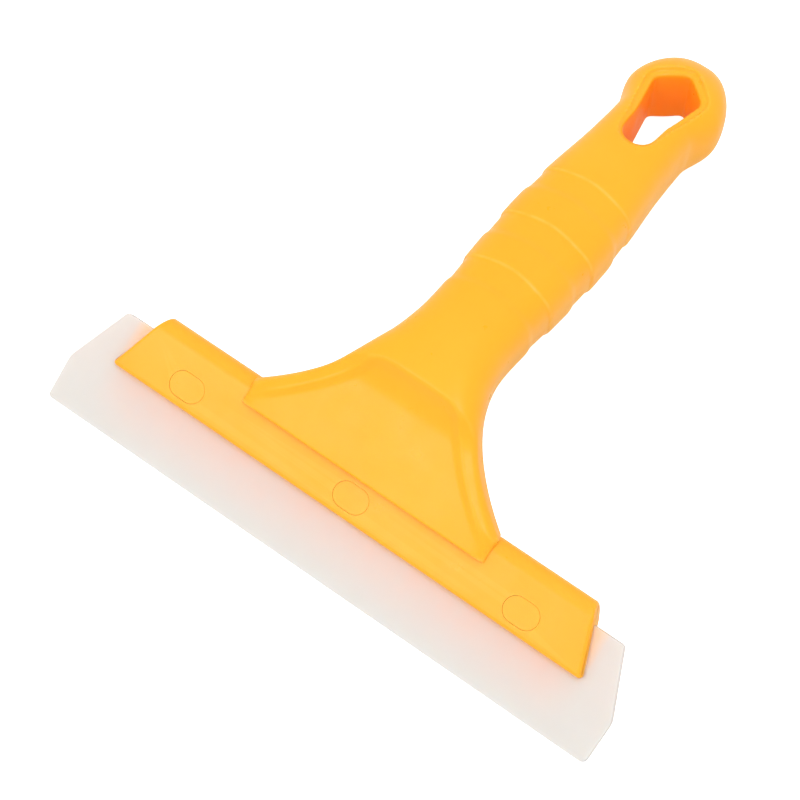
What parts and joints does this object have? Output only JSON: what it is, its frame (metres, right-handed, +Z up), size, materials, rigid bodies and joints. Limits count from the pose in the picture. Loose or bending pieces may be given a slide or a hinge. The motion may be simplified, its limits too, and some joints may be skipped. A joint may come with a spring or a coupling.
{
  "type": "squeegee applicator",
  "caption": "Hand squeegee with an arched plastic handle, a flared web, a clamped cross rail and a flexible frosted blade; a hang hole at the handle's end.",
  "frame": {"origin": "middle of the width and the length, on the plane that the tool rests on when it lies on its back", "axes": "+X along the blade, +Y from the blade to the hang hole, +Z up out of the front face"},
  "size_m": [0.16, 0.1703, 0.0377],
  "materials": {
    "handle_plastic": "satin moulded yellow-orange plastic",
    "jaw_plastic": "satin moulded yellow-orange plastic",
    "stud_plastic": "satin moulded yellow-orange plastic",
    "blade_elastomer": "frosted translucent elastomer"
  },
  "bodies": {
    "handle_body": {"handle": "handle_plastic", "front_jaw": "jaw_plastic", "rear_jaw": "jaw_plastic", "stud_left": "stud_plastic", "stud_middle": "stud_plastic", "stud_right": "stud_plastic", "blade_heel": "blade_elastomer"},
    "lip_body": {"blade_lip": "blade_elastomer"}
  },
  "joints": [
    {"name": "blade_flex", "type": "hinge", "parent": "handle_body", "child": "lip_body", "pos_m": [0, -0.07194, 0.00829], "axis": [1, 0, 0], "range_deg": [-30, 30], "stiffness_Nm_per_rad": 0.2}
  ]
}
